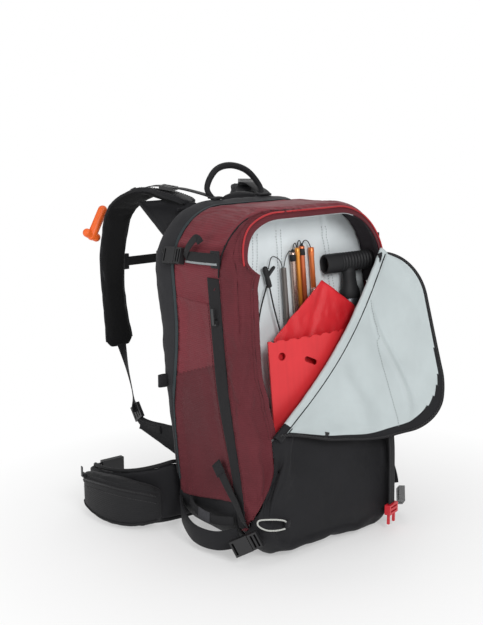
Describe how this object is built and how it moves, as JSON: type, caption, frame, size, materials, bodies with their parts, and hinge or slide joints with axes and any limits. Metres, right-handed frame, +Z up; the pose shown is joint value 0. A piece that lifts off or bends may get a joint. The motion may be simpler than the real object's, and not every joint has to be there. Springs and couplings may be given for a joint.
{
  "type": "ski backpack",
  "caption": "Ski touring airbag backpack with a diagonal-flap tool pocket folded open on a shovel and probe, side zips, ski loops, shoulder straps and a hip belt.",
  "frame": {"origin": "on the ground at the middle of the bag's base", "axes": "+Z up, -Y out of the front face with the flap, +Y towards the harness and the wearer, +X to the right of someone looking at the front face"},
  "size_m": [0.526, 0.4994, 0.5989],
  "materials": {
    "maroon_ripstop": "satin ripstop nylon",
    "black_nylon": "matt heavy nylon",
    "collar_nylon": "matt nylon",
    "grey_lining": "light coated lining",
    "red_piping": "red bound edge",
    "red_sleeve": "satin nylon",
    "zip_tape": "woven tape with coil",
    "burst_tape": "woven tape with coil",
    "foam_black": "spacer mesh over foam",
    "webbing": "woven webbing",
    "airbag_fabric": "coated nylon",
    "acetal_black": "moulded",
    "acetal_red": "moulded",
    "handle_orange": "soft moulded",
    "frame_plastic": "extruded sheet",
    "housing_grey": "moulded",
    "alloy": "brushed",
    "blade_red": "anodised, matt",
    "shaft_black": "ribbed grip",
    "probe_alloy": "anodised tube"
  },
  "bodies": {
    "bag": {"back_panel": "foam_black", "frame_sheet": "frame_plastic", "frame_stays": "alloy", "left_side_panel": "maroon_ripstop", "right_side_panel": "maroon_ripstop", "crown_panel": "maroon_ripstop", "front_surround": "maroon_ripstop", "front_lower_panel": "black_nylon", "base_boot": "black_nylon", "airbag_collar": "collar_nylon", "airbag_burst_zip": "burst_tape", "pocket_divider": "grey_lining", "side_zip_tapes": "zip_tape", "pocket_zip_tape": "red_piping", "tool_sleeve": "red_sleeve", "stowed_airbag": "airbag_fabric", "inflator_housing": "housing_grey", "power_pack": "housing_grey", "ski_loops": "webbing", "compression_webbing": "webbing", "buckle_sockets": "acetal_black", "web_loops": "webbing", "shoulder_yoke": "foam_black", "load_lifter_webbing": "webbing", "anchor_webbing": "webbing", "anchor_buckles": "acetal_black", "lumbar_pad": "foam_black"},
    "flap": {"front_flap": "black_nylon", "flap_zip_tape": "zip_tape", "flap_slider": "acetal_black"},
    "shoulder_left": {"shoulder_strap_left": "foam_black", "load_lifter_left": "acetal_black"},
    "shoulder_right": {"shoulder_strap_right": "foam_black", "load_lifter_right": "acetal_black"},
    "sternum_left": {"sternum_left": "acetal_black"},
    "sternum_right": {"sternum_right": "acetal_black"},
    "trigger": {"trigger_handle": "handle_orange"},
    "hip_left": {"hip_wing_left": "foam_black", "hip_pocket_left": "collar_nylon", "hip_buckle_left": "acetal_black"},
    "hip_right": {"hip_wing_right": "foam_black", "hip_pocket_right": "collar_nylon", "hip_buckle_right": "acetal_black"},
    "hip_zip_left": {"hip_slider_left": "acetal_black"},
    "hip_zip_right": {"hip_slider_right": "acetal_black"},
    "side_zip_left": {"side_slider_left": "acetal_black"},
    "side_zip_right": {"side_slider_right": "acetal_black"},
    "upper_plug_left": {"upper_plug_left": "acetal_black"},
    "upper_plug_right": {"upper_plug_right": "acetal_black"},
    "lower_plug_left": {"lower_plug_left": "acetal_black"},
    "lower_plug_right": {"lower_plug_right": "acetal_black"},
    "handle": {"grab_handle": "webbing"},
    "ski_strap": {"ski_strap": "webbing", "ski_strap_buckle": "acetal_red"},
    "fan": {"inflator_impeller": "housing_grey"},
    "blade": {"shovel_blade": "blade_red"},
    "shovel_shaft": {"shovel_handle": "shaft_black"},
    "lock_button": {"shovel_lock_button": "alloy"},
    "probe": {"probe_sections": "probe_alloy", "probe_cord": "acetal_black"}
  },
  "joints": [
    {"name": "flap_fold", "type": "hinge", "parent": "bag", "child": "flap", "pos_m": [0.02303, -0.06878, 0.32431], "axis": [0.6918, 0.0983, 0.7153], "range_deg": [-168, 4]},
    {"name": "shoulder_swing_left", "type": "hinge", "parent": "bag", "child": "shoulder_left", "pos_m": [-0.066, 0.19, 0.53], "axis": [1, 0, 0], "range_deg": [0, 14]},
    {"name": "shoulder_swing_right", "type": "hinge", "parent": "bag", "child": "shoulder_right", "pos_m": [0.066, 0.19, 0.53], "axis": [1, 0, 0], "range_deg": [0, 14]},
    {"name": "sternum_height_left", "type": "slide", "parent": "shoulder_left", "child": "sternum_left", "axis": [0, 0, 1], "range_m": [-0.03, 0.02]},
    {"name": "sternum_height_right", "type": "slide", "parent": "shoulder_right", "child": "sternum_right", "axis": [0, 0, 1], "range_m": [-0.03, 0.02]},
    {"name": "trigger_pull", "type": "slide", "parent": "shoulder_left", "child": "trigger", "axis": [0, 0, -1], "range_m": [0, 0.025]},
    {"name": "hip_swing_left", "type": "hinge", "parent": "bag", "child": "hip_left", "pos_m": [-0.104, 0.1235, 0.05], "axis": [0, 0, 1], "range_deg": [-26, 0]},
    {"name": "hip_swing_right", "type": "hinge", "parent": "bag", "child": "hip_right", "pos_m": [0.104, 0.1235, 0.05], "axis": [0, 0, 1], "range_deg": [0, 26]},
    {"name": "hip_zip_left", "type": "slide", "parent": "hip_left", "child": "hip_zip_left", "axis": [-0.1903, -0.9817, 0], "range_m": [0, 0.036]},
    {"name": "hip_zip_right", "type": "slide", "parent": "hip_right", "child": "hip_zip_right", "axis": [0.1903, -0.9817, 0], "range_m": [0, 0.036]},
    {"name": "side_zip_left", "type": "slide", "parent": "bag", "child": "side_zip_left", "axis": [0.0136, -0.1191, -0.9928], "range_m": [0, 0.08]},
    {"name": "side_zip_right", "type": "slide", "parent": "bag", "child": "side_zip_right", "axis": [-0.0136, -0.1191, -0.9928], "range_m": [0, 0.08]},
    {"name": "upper_release_left", "type": "slide", "parent": "bag", "child": "upper_plug_left", "axis": [0, -0.9962, 0.0872], "range_m": [0, 0.016]},
    {"name": "upper_release_right", "type": "slide", "parent": "bag", "child": "upper_plug_right", "axis": [0, -0.9962, 0.0872], "range_m": [0, 0.016]},
    {"name": "lower_release_left", "type": "slide", "parent": "bag", "child": "lower_plug_left", "axis": [0.5675, -0.6764, 0.4695], "range_m": [0, 0.016]},
    {"name": "lower_release_right", "type": "slide", "parent": "bag", "child": "lower_plug_right", "axis": [-0.5675, -0.6764, 0.4695], "range_m": [0, 0.016]},
    {"name": "handle_swing", "type": "hinge", "parent": "bag", "child": "handle", "pos_m": [0, 0.141, 0.5365], "axis": [1, 0, 0], "range_deg": [-12, 12]},
    {"name": "ski_strap_swing", "type": "hinge", "parent": "bag", "child": "ski_strap", "pos_m": [0.128, -0.101, 0.176], "axis": [1, 0, 0], "range_deg": [-40, 0]},
    {"name": "fan_spin", "type": "hinge", "parent": "bag", "child": "fan", "pos_m": [0, 0.09, 0.402], "axis": [0, 1, 0], "continuous": true},
    {"name": "blade_lift", "type": "slide", "parent": "bag", "child": "blade", "axis": [0, 0.1191, 0.9929], "range_m": [0, 0.15]},
    {"name": "handle_lift", "type": "slide", "parent": "bag", "child": "shovel_shaft", "axis": [0, 0.1191, 0.9929], "range_m": [0, 0.008]},
    {"name": "lock_press", "type": "slide", "parent": "shovel_shaft", "child": "lock_button", "axis": [0, 0.9929, -0.1191], "range_m": [0, 0.0025]},
    {"name": "probe_lift", "type": "slide", "parent": "bag", "child": "probe", "axis": [0, 0.1191, 0.9929], "range_m": [0, 0.04]}
  ]
}
